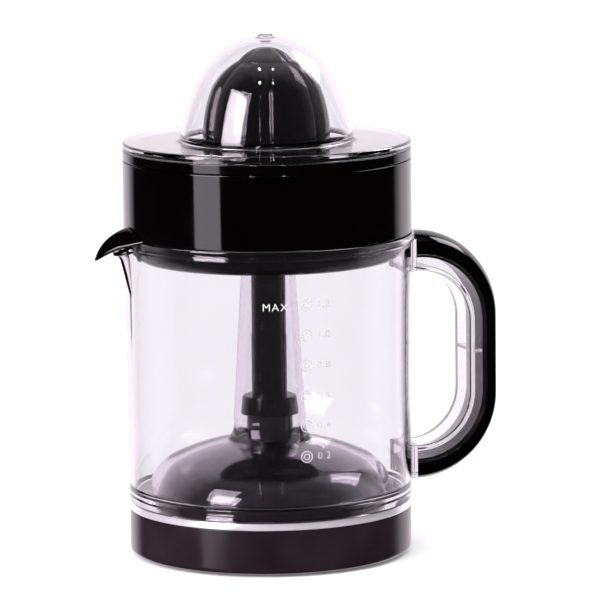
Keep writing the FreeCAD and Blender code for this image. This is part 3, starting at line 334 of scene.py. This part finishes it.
def spout(across, up, turn):
    """Draws the wall near -X out into a pouring lip that rises from its foot to the rim."""
    x, y = across * math.cos(turn), across * math.sin(turn)
    if x > 0 or up < SPOUT_FOOT or across < 60:
        return x, y, up
    rise = (up - SPOUT_FOOT) / (157.2 - SPOUT_FOOT)
    half = 3.0 + 12.0 * rise
    share = max(0.0, 1 - (math.sqrt((y / half) ** 2 + 0.03) - 0.173) / 0.842)
    drawn = min(share, 1.0) ** 1.15 * rise
    dip = 6.0 * drawn * ease((up - 145.0) / 12.0)
    return x - SPOUT_REACH * drawn, y, up - dip


JUG_ANGLES = []
turn = 0.0
while turn < 360.0 - 1e-6:
    JUG_ANGLES.append(math.radians(turn))
    turn += 0.5 if 164.0 <= turn < 196.0 else 2.0

side, knee, last, side_bend, top_bend = dome(58.8, 31.0, 57.5, 20.6)
side_in, knee_in, last_in, side_bend_in, top_bend_in = dome(56.2, 28.0, 54.9, 17.6)
rise_out = [(wall_radius(up), up) for up in (60.0, 100.0)] + [
    (wall_radius(up), up) for up in [SPOUT_FOOT + 1.9 * i for i in range(12)]]
fall_in = [(67.2 - (157.2 - up) / 122.2 * 0.65, up) for up in [156.0 - 2.4 * i for i in range(12)]] + [
    (66.75, 100.0), (66.6, 60.0)]
lathe("jug_body", trace([
    (56.2, 26.0), (63.5, 26.0), (63.5, 24.4), (65.9, 24.4), (65.9, 26.0), (68.55, 26.0),
    (69.35, 26.8)] + rise_out + [
    (70.0, 152.0), (70.35, 152.7), (71.25, 153.3), (71.55, 153.9), (71.55, 156.3), (71.3, 156.95),
    (70.7, 157.2), (67.7, 157.2), (67.2, 156.9)] + fall_in + [
    (66.55, 35.0, -4.0), (62.55, 31.0), (60.3, 31.0), side + (side_bend,), knee + (top_bend,),
    last + (-12.0,), (17.6, 66.0), (12.0, 157.4, 0, 0.4), (10.1, 157.4, 0, 0.4), (15.7, 64.0),
    last_in + (-top_bend_in,), knee_in + (-side_bend_in,), side_in], 24),
    "jug_assembly", "clear_plastic", ["jug", "jug_column"], JUG_ANGLES, spout)

# ---------------------------------------------------------------- handle

HANDLE_X, HANDLE_HIGH, HANDLE_LOW, SPLIT, ROOT = 74.5, 109.5, 74.3, 34.0, 72.5
GRIP_DEPTH = 8.0


def handle_stations(start):
    """Places on the split line of the handle, with the direction that points out of the loop."""
    stations = [(start, HANDLE_HIGH, 0.0, 1.0), ((start + HANDLE_X) / 2, HANDLE_HIGH, 0.0, 1.0)]
    for i in range(33):
        angle = math.pi / 2 * (1 - i / 32)
        stations.append((HANDLE_X, HANDLE_HIGH, math.cos(angle), math.sin(angle)))
    for i in range(33):
        angle = -math.pi / 2 * i / 32
        stations.append((HANDLE_X, HANDLE_LOW, math.cos(angle), math.sin(angle)))
    return stations + [((start + HANDLE_X) / 2, HANDLE_LOW, 0.0, -1.0), (start, HANDLE_LOW, 0.0, -1.0)]


def handle_sweep(name, section, start, body, slot, nodes=(), above=0.0, below=0.0):
    """Carries a section of (side, outward) points along the loop, thicker by above at its top."""
    loops = []
    for x, z, dx, dz in handle_stations(start):
        extra = above if z > HANDLE_LOW else -below
        loops.append([(x + (SPLIT + out) * dx, side_y,
                       z + (SPLIT + out) * dz + extra * max(out, 0.0) / GRIP_DEPTH)
                      for side_y, out in section])
    return sweep(name, loops, body, slot, nodes)


handle_sweep("handle_grip", trace([
    (-12.0, 0.05, 0, 0.5), (-9.6, 0.05), (-9.5, -1.5), (9.5, -1.5), (9.6, 0.05), (12.0, 0.05, 0, 0.5),
    (12.0, 4.0), (11.85, 4.6), (11.4, 5.05, 23.5), (-11.4, 5.05), (-11.85, 4.6), (-12.0, 4.0)]),
    ROOT + 0.1, "jug_assembly", "black_gloss", ["handle_cover"], above=3.0, below=2.0)
handle_sweep("handle_channel", trace([
    (-12.0, 0.0, 0, 0.3), (-12.0, -8.4, 0, 1.2), (12.0, -8.4, 0, 1.2), (12.0, 0.0, 0, 0.3), (9.8, 0.0),
    (9.8, -6.2, 0, 0.8), (-9.8, -6.2, 0, 0.8), (-9.8, 0.0)]),
    ROOT + 0.02, "jug_assembly", "clear_plastic", ["jug_handle"])


def root_pad(name, low, high):
    """The clear pad between the jug's wall and an end of the handle; its near face follows the wall."""
    half = 12.0
    loops = []
    for i in range(13):
        y = -half + 2 * half * i / 12
        near = math.sqrt(70.25 ** 2 - y * y)
        loops.append([(near, y, low), (ROOT, y, low), (ROOT, y, high), (near, y, high)])
    return sweep(name, loops, "jug_assembly", "clear_plastic", bevel=0.5)


root_pad("handle_root_high", HANDLE_HIGH + SPLIT - 8.4, HANDLE_HIGH + SPLIT + 8.0)
root_pad("handle_root_low", HANDLE_LOW - SPLIT - 8.0, HANDLE_LOW - SPLIT + 8.4)
sweep("handle_rib", [[(x, y, z) for x, y in ((102.5, -9.7), (106.8, -9.7), (106.8, 9.7), (102.5, 9.7))]
                     for z in (93.2, 94.8)], "jug_assembly", "clear_plastic", bevel=0.2)

# ---------------------------------------------------------------- marks on the jug


def wrapped(name, x0, up0, azimuth, points, faces, lift, made_of, slot):
    """Bends flat geometry in mm round the jug's wall."""
    mesh = bpy.data.meshes.new(name)
    vertices = []
    for px, py, pz in points:
        radius = wall_radius(up0 + py) + lift + pz
        turn_here = math.radians(azimuth) + (px + x0) / 70.0
        vertices.append((radius * math.cos(turn_here) * MM, radius * math.sin(turn_here) * MM,
                         (up0 + py) * MM))
    mesh.from_pydata(vertices, [], faces)
    return finish_piece(name, mesh, "jug_assembly", slot, (), made_of)


def lettering(words, size, depth, thinning):
    """Outline letters as solid geometry: points in mm and faces."""
    curve = bpy.data.curves.new("letters", "FONT")
    curve.body = words
    curve.size = size
    curve.extrude = depth
    curve.offset = -thinning
    curve.resolution_u = 3
    curve.space_character = 1.15
    curve.align_x = "LEFT"
    curve.align_y = "CENTER"
    holder = bpy.data.objects.new("letters", curve)
    bpy.context.scene.collection.objects.link(holder)
    bpy.context.view_layer.update()
    mesh = bpy.data.meshes.new_from_object(holder.evaluated_get(bpy.context.evaluated_depsgraph_get()))
    cut = bmesh.new()
    cut.from_mesh(mesh)
    for step in range(1, 12):
        at = step * 1.1
        bmesh.ops.bisect_plane(cut, geom=cut.verts[:] + cut.edges[:] + cut.faces[:],
                               plane_co=(at, 0, 0), plane_no=(1, 0, 0))
    cut.to_mesh(mesh)
    cut.free()
    points = [tuple(v.co) for v in mesh.vertices]
    faces = [tuple(p.vertices) for p in mesh.polygons]
    bpy.data.objects.remove(holder)
    bpy.data.meshes.remove(mesh)
    bpy.data.curves.remove(curve)
    return points, faces


def ring_points(radius, thick, turns=40, sides=8):
    points, faces = [], []
    for i in range(turns):
        a = 2 * math.pi * i / turns
        for j in range(sides):
            b = 2 * math.pi * j / sides
            reach = radius + thick * math.cos(b)
            points.append((reach * math.cos(a), reach * math.sin(a), thick * 0.8 * (math.sin(b) + 1)))
            faces.append((i * sides + j, i * sides + (j + 1) % sides,
                          ((i + 1) % turns) * sides + (j + 1) % sides, ((i + 1) % turns) * sides + j))
    return points, faces


MARK_HEIGHTS = {"0.2": 58.1, "0.4": 72.9, "0.6": 87.5, "0.8": 102.2, "1.0": 116.8, "1.2": 131.4}
for words, up in MARK_HEIGHTS.items():
    tag = words.replace(".", "")
    for size, radius in (("outer", 2.65), ("inner", 1.35)):
        points, faces = ring_points(radius, 0.26)
        wrapped("mark_ring_%s_%s" % (size, tag), 0.0, up, -92.4, points, faces, 0.02, MARKS,
                "clear_plastic")
    points, faces = lettering(words, 5.0, 0.14, 0.06)
    wrapped("mark_digits_" + tag, 0.0, up, -88.0, points, faces, 0.2, MARKS, "clear_plastic")
points, faces = lettering("MAX", 5.4, 0.06, 0.13)
wrapped("mark_limit", 0.0, 130.4, -109.6, points, faces, 0.08, PRINT, "clear_plastic")

# ---------------------------------------------------------------- collector

lathe("collector_bowl", trace([
    (13.4, 144.5), (58.8, 144.5, 7.0), (65.8, 151.5), (65.8, 157.5), (70.4, 157.5, 0, 0.5),
    (70.4, 193.6, 0, 0.5), (68.0, 193.6), (68.0, 159.9), (63.8, 159.9), (63.8, 151.5, -5.0),
    (58.8, 146.5), (15.2, 147.5), (15.2, 165.0, 0, 0.5), (11.4, 165.0), (11.4, 182.0, 0, 0.4),
    (9.6, 182.0), (9.6, 163.2), (13.4, 163.2)]), "collector_assembly", "black_gloss", ["collector"])

HOOD_ROOT = (-70.2, 0.0, 163.4)
HOOD_EDGE = (-78.2, 9.7, 154.6)
HOOD_WING = math.radians(15.6)


def quadratic(start, bend, end, share):
    return tuple((1 - share) ** 2 * a + 2 * share * (1 - share) * b + share ** 2 * c
                 for a, b, c in zip(start, bend, end))


def pouring_hood():
    """A beak over the spout: a curved side each way from its ridge, and a flat wing back to the band."""
    steps, rows = 14, 10
    points, faces = [], []

    def grid(place):
        start = len(points)
        for i in range(steps + 1):
            for j in range(rows + 1):
                points.append(tuple(v * MM for v in place(i / steps, j / rows)))
        for i in range(steps):
            for j in range(rows):
                corner = start + i * (rows + 1) + j
                faces.append((corner, corner + 1, corner + rows + 2, corner + rows + 1))

    for hand in (-1, 1):
        def beak(along, down, hand=hand):
            top = quadratic(HOOD_ROOT, (-83.0, 0.0, 160.0), (-87.0, 0.0, 149.2), along)
            edge = quadratic(HOOD_EDGE, (-84.6, 5.6, 151.2), (-87.2, 0.6, 147.6), along)
            bulge = 1.5 * math.sin(math.pi * down) * (1 - 0.8 * along)
            x, y, z = (a + (b - a) * down for a, b in zip(top, edge))
            return x - bulge * 0.25, hand * (y + bulge * 0.75), z + bulge * 0.6

        def wing(along, down, hand=hand):
            x, y, z = beak(0.0, down, 1)
            turn = HOOD_WING * down
            far = (-70.3 * math.cos(turn), 70.3 * math.sin(turn), 163.4 - 5.2 * down)
            x, y, z = (a + (b - a) * along for a, b in zip((x, y, z), far))
            return x, hand * y, z

        grid(beak)
        grid(wing)
    mesh = bpy.data.meshes.new("collector_hood")
    mesh.from_pydata(points, [], faces)
    piece = finish_piece("collector_hood", mesh, "collector_assembly", "black_gloss", ["pouring_hood"])
    wall = piece.modifiers.new("wall", "SOLIDIFY")
    wall.thickness = 1.4 * MM
    wall.offset = -1.0
    piece.modifiers.move(1, 0)


pouring_hood()

# ---------------------------------------------------------------- strainer


def slotted_strainer():
    """The floor of the pulp basket, with radial slots."""
    slots, half_slot, slot_start, slot_end = 40, 0.9, 24.0, 61.0
    upper, lower = 178.0, 176.0
    radii = [14.2, 24.0, 33.0, 42.0, 51.5, 61.0, 64.8]
    mesh_points, faces, index = [], [], {}

    def vertex(radius, angle, up):
        key = (round(radius, 4), round(angle, 6), up)
        if key not in index:
            index[key] = len(mesh_points)
            mesh_points.append((radius * math.cos(angle) * MM, radius * math.sin(angle) * MM, up * MM))
        return index[key]

    for s in range(slots):
        middle = 2 * math.pi * s / slots
        width = math.pi / slots
        for r0, r1 in zip(radii, radii[1:]):
            open_here = slot_start - 0.1 < r0 and r1 < slot_end + 0.1
            fans = []
            for r in (r0, r1):
                if slot_start - 0.1 < r < slot_end + 0.1:
                    gap = math.asin(half_slot / r)
                else:
                    gap = math.asin(half_slot / slot_start) * slot_start / r
                fans.append([middle - width, middle - gap, middle + gap, middle + width])
            for part in range(3):
                if part == 1 and open_here:
                    continue
                a0, a1 = fans[0][part], fans[0][part + 1]
                b0, b1 = fans[1][part], fans[1][part + 1]
                for up, flip in ((upper, 1), (lower, -1)):
                    corners = ((r0, a0), (r1, b0), (r1, b1), (r0, a1))
                    faces.append([vertex(*corner, up) for corner in corners][::flip])
            if open_here:
                for part in (1, 2):
                    quad = [vertex(r0, fans[0][part], upper), vertex(r1, fans[1][part], upper),
                            vertex(r1, fans[1][part], lower), vertex(r0, fans[0][part], lower)]
                    faces.append(quad)
        for r in (slot_start, slot_end):
            gap = math.asin(half_slot / r)
            faces.append([vertex(r, middle - gap, upper), vertex(r, middle + gap, upper),
                          vertex(r, middle + gap, lower), vertex(r, middle - gap, lower)])
    mesh = bpy.data.meshes.new("strainer_floor")
    mesh.from_pydata(mesh_points, [], faces)
    return finish_piece("strainer_floor", mesh, "strainer_assembly", "black_gloss")


slotted_strainer()
lathe("strainer_rim", trace([
    (64.8, 176.0), (66.8, 176.0, 0, 0.5), (66.8, 193.9), (70.3, 193.9, 0, 0.5), (70.3, 198.7, 0, 0.5),
    (67.4, 198.7, 0, 0.4), (67.4, 196.0), (64.8, 196.0, 0, 0.5)]),
    "strainer_assembly", "black_gloss", ["strainer"])
lathe("strainer_hub", trace([
    (12.2, 176.0), (14.2, 176.0), (14.2, 187.5, 0, 0.5), (12.2, 187.5, 0, 0.5)]),
    "strainer_assembly", "black_gloss")

# ---------------------------------------------------------------- cones

RIDGE_TURN = math.radians(11.0)
CONE_WIDTH = 31.4
TIP_WIDTH = 9.0
TIP_SHOULDER = 236.0


def ridge_drop(across, turn, depth, wide):
    """How far the surface lies under the crests: straight flanks, then a valley up to the panel."""
    off = abs((math.degrees(turn - RIDGE_TURN) + 30.0) % 60.0 - 30.0)
    away = across * math.radians(off)
    if away < wide:
        return depth * away / wide
    return depth * (1 - 0.92 * ease((away - wide) / (wide * 1.15)))


cone_side = trace([(30.0, 190.0), (31.0, 190.6), (31.0, 202.0, 62.0), (26.2, 228.7, 30.5), (14.2, 240.6),
                   (13.7, 240.4)], 20)[:-1]
inner_side = [(13.3, 239.8), (16.0, 236.2), (22.0, 228.6), (25.4, 221.0), (27.6, 211.0), (28.4, 202.0),
              (28.4, 190.0)]
CONE_OUTER = {(round(a, 5), round(u, 5)) for a, u in cone_side}


def shaped_cone(across, up, turn):
    """Cuts the ridges into the outer side of the large cone and leaves its inside round."""
    if (round(across, 5), round(up, 5)) in CONE_OUTER:
        size = across / CONE_WIDTH
        across -= ridge_drop(across, turn, 1.5 * size ** 0.6, 2.3 * size ** 0.5)
    return across * math.cos(turn), across * math.sin(turn), up


lathe("cone_large", cone_side + inner_side, "cones", "black_gloss", ["large_cone"],
      even_angles(720), shaped_cone, CONE_BLACK)


def shaped_tip(across, up, turn):
    """Runs the ridges of the large cone on over the tip, and lets them die out at its top."""
    if up > TIP_SHOULDER and across > 0.5:
        size = min(1.0, across / TIP_WIDTH)
        across -= ridge_drop(across, turn, 0.75 * size, 1.7 * size + 0.01)
    return across * math.cos(turn), across * math.sin(turn), up


lathe("cone_tip", trace([
    (17.2, 190.5), (19.2, 190.5), (13.5, 240.5, 16.2), (1.0, 247.3), (0.02, 247.3), (0.02, 220.0),
    (9.8, 220.0), (9.8, 190.5), (11.5, 190.5), (11.5, 224.0), (12.9, 224.0)], 16),
    "cones", "black_gloss", ["small_cone"], even_angles(360), shaped_tip, CONE_BLACK)

# ---------------------------------------------------------------- dust cover

lathe("cover_dome", trace([
    (40.0, 200.3), (65.4, 200.3), (65.4, 196.4), (67.1, 196.4), (67.1, 199.0), (70.3, 199.0, 0, 0.4),
    (70.3, 202.7, 0, 1.1), (44.2, 202.7, -3.0), (42.0, 205.0, 100.0), (34.2, 230.3, 40.7),
    (13.6, 250.8, 29.4), (4.8, 253.0), (4.4, 253.2), (3.6, 253.5), (3.0, 254.0), (0.0, 254.0),
    (0.0, 249.9), (2.2, 249.9), (2.6, 250.3), (2.8, 251.0, -28.0), (13.0, 248.7, -39.0),
    (32.2, 229.4, -98.0), (40.0, 205.0)], 24),
    "cover_assembly", "clear_plastic", ["dust_cover"], even_angles(200))

# ---------------------------------------------------------------- stage, light and camera


LIT_POINT = Vector((0, 0, 0.11))
LAMP_DISTANCE = 1.5
LAMP_SIZE = 0.06


def from_camera(azimuth, elevation):
    """A lamp's place: azimuth 0 is on the camera's side and grows to the camera's left."""
    a, e = math.radians(azimuth), math.radians(elevation)
    place = Vector((-math.sin(a) * math.cos(e), -math.cos(a) * math.cos(e), math.sin(e))) * LAMP_DISTANCE
    return Matrix.Rotation(CAMERA_TURN, 3, "Z") @ place + LIT_POINT


off_the_jug = bpy.data.collections.new("off_the_jug")
off_the_jug.objects.link(bpy.data.objects["jug_body"])
off_the_jug.collection_objects[0].light_linking.link_state = "EXCLUDE"


def softbox(name, azimuth, elevation, width, height, radiance, turn=0.0, colour=(1, 1, 1), lit=None):
    """An area light aimed at the object, or at what a collection of receivers says."""
    lamp = bpy.data.lights.new(name, "AREA")
    lamp.shape = "RECTANGLE"
    lamp.size, lamp.size_y = width, height
    lamp.energy = radiance * math.pi * width * height
    lamp.color = colour
    holder = bpy.data.objects.new(name, lamp)
    place = from_camera(azimuth, elevation)
    aim = (LIT_POINT - place).to_track_quat("-Z", "Y").to_matrix().to_4x4()
    holder.matrix_world = Matrix.Translation(place) @ aim @ Matrix.Rotation(math.radians(turn), 4, "Z")
    if lit:
        holder.light_linking.receiver_collection = lit
    bpy.context.scene.collection.objects.link(holder)


TINT = (1.0, 0.9, 0.99)
softbox("key_low", 47.5, -6.0, 0.56, 0.50, 3.3, 14.0, TINT, off_the_jug)
softbox("key_high", 49.0, 22.0, 0.70, 1.02, 13.0, 0.0, TINT)
softbox("right_high", -124.0, 42.0, 0.75, 0.6, 6.0, 0.0, TINT)
SMALL_LAMPS = ((28.0, 74.0), (-30.0, 74.0), (14.0, 55.0), (-16.0, 55.0))
for index, (azimuth, elevation) in enumerate(SMALL_LAMPS):
    softbox("lamp_%d" % index, azimuth, elevation, LAMP_SIZE, LAMP_SIZE, 120.0 - index * 20)

world = bpy.data.worlds.new("studio")
bpy.context.scene.world = world
world.use_nodes = True
nodes, links = world.node_tree.nodes, world.node_tree.links
nodes.clear()
output = nodes.new("ShaderNodeOutputWorld")
plain = nodes.new("ShaderNodeBackground")
plain.inputs["Color"].default_value = (1.0, 1.0, 1.0, 1.0)
plain.inputs["Strength"].default_value = 1.12
way = nodes.new("ShaderNodeTexCoord")


def brightness_towards(direction, stops):
    """A Background whose light depends on how near a ray is to a direction."""
    facing = nodes.new("ShaderNodeVectorMath")
    facing.operation = "DOT_PRODUCT"
    facing.inputs[1].default_value = direction
    links.new(way.outputs["Generated"], facing.inputs[0])
    spread = nodes.new("ShaderNodeMapRange")
    spread.inputs["From Min"].default_value = -1.0
    links.new(facing.outputs["Value"], spread.inputs["Value"])
    ramp = nodes.new("ShaderNodeValToRGB")
    while len(ramp.color_ramp.elements) < len(stops):
        ramp.color_ramp.elements.new(0.5)
    for element, (position, light) in zip(ramp.color_ramp.elements, stops):
        element.position = (position + 1) / 2
        element.color = (light, light * 0.92, light * 0.99, 1.0)
    links.new(spread.outputs["Result"], ramp.inputs["Fac"])
    shade = nodes.new("ShaderNodeBackground")
    links.new(ramp.outputs["Color"], shade.inputs["Color"])
    return shade


def added(first, second):
    """The light of two shaders together."""
    both = nodes.new("ShaderNodeAddShader")
    links.new(first.outputs[0], both.inputs[0])
    links.new(second.outputs[0], both.inputs[1])
    return both


def chosen(test, usual, other):
    """The usual shader, or the other where the test comes out as 1."""
    mixed = nodes.new("ShaderNodeMixShader")
    links.new(test.outputs["Value"], mixed.inputs["Fac"])
    links.new(usual.outputs[0], mixed.inputs[1])
    links.new(other.outputs[0], mixed.inputs[2])
    return mixed


def over_half(socket):
    """A node that gives 1 where the socket is over a half, as a ray's count of bounces is."""
    test = nodes.new("ShaderNodeMath")
    test.operation = "GREATER_THAN"
    test.inputs[1].default_value = 0.5
    links.new(socket, test.inputs[0])
    return test


BEHIND = Matrix.Rotation(CAMERA_TURN, 3, "Z") @ Vector((math.sin(0.1), math.cos(0.1), 0.0))
overhead = brightness_towards((0.0, 0.0, 1.0), [(0.0, 0.0), (0.86, 0.0), (0.97, 0.25)])
outside = added(brightness_towards(BEHIND, [(-1.0, 0.004), (0.58, 0.01), (0.76, 1.35)]), overhead)
inside = added(brightness_towards(BEHIND, [(-1.0, 0.09), (-0.15, 0.14), (0.2, 0.85), (0.6, 1.0)]),
               overhead)
path = nodes.new("ShaderNodeLightPath")
studio = chosen(over_half(path.outputs["Transmission Depth"]), outside, inside)
whole = chosen(over_half(path.outputs["Glossy Depth"]), plain, studio)
links.new(whole.outputs[0], output.inputs["Surface"])

FLOOR_REACH, FLOOR_UP = 7, -0.0005
floor_mesh = bpy.data.meshes.new("floor")
floor_mesh.from_pydata([(x * FLOOR_REACH, y * FLOOR_REACH, FLOOR_UP)
                        for x, y in ((-1, -1), (1, -1), (1, 1), (-1, 1))], [], [(0, 1, 2, 3)])
floor_mesh.materials.append(material(
    "floor", (0.94, 0.94, 0.945), (0.5, 0.7), (200.0, 0.01), (3.0, 0.004),
    Emission_Color=(1.0, 1.0, 1.0, 1.0), Emission_Strength=0.1))
floor = bpy.data.objects.new("floor", floor_mesh)
bpy.context.scene.collection.objects.link(floor)
floor.visible_glossy = False
floor.visible_transmission = False

YAW, PITCH, ROLL = math.radians(0.36546), math.radians(8.7916), math.radians(-0.6045)
forward = Matrix.Rotation(CAMERA_TURN, 3, "Z") @ Vector((
    math.sin(YAW) * math.cos(PITCH), math.cos(YAW) * math.cos(PITCH), -math.sin(PITCH)))
level = forward.cross(Vector((0, 0, 1))).normalized()
upward = level.cross(forward).normalized()
right = level * math.cos(ROLL) + upward * math.sin(ROLL)
above = upward * math.cos(ROLL) - level * math.sin(ROLL)
lens = bpy.data.cameras.new("camera")
lens.sensor_width = 36.0
lens.lens = 300.0
lens.clip_end = 50.0
camera = bpy.data.objects.new("camera", lens)
bpy.context.scene.collection.objects.link(camera)
camera.matrix_world = Matrix.Translation((-0.7053, -2.3070, 0.4965)) @ Matrix(
    (right, above, -forward)).transposed().to_4x4()
bpy.context.scene.camera = camera
bpy.context.scene.view_settings.view_transform = "Standard"
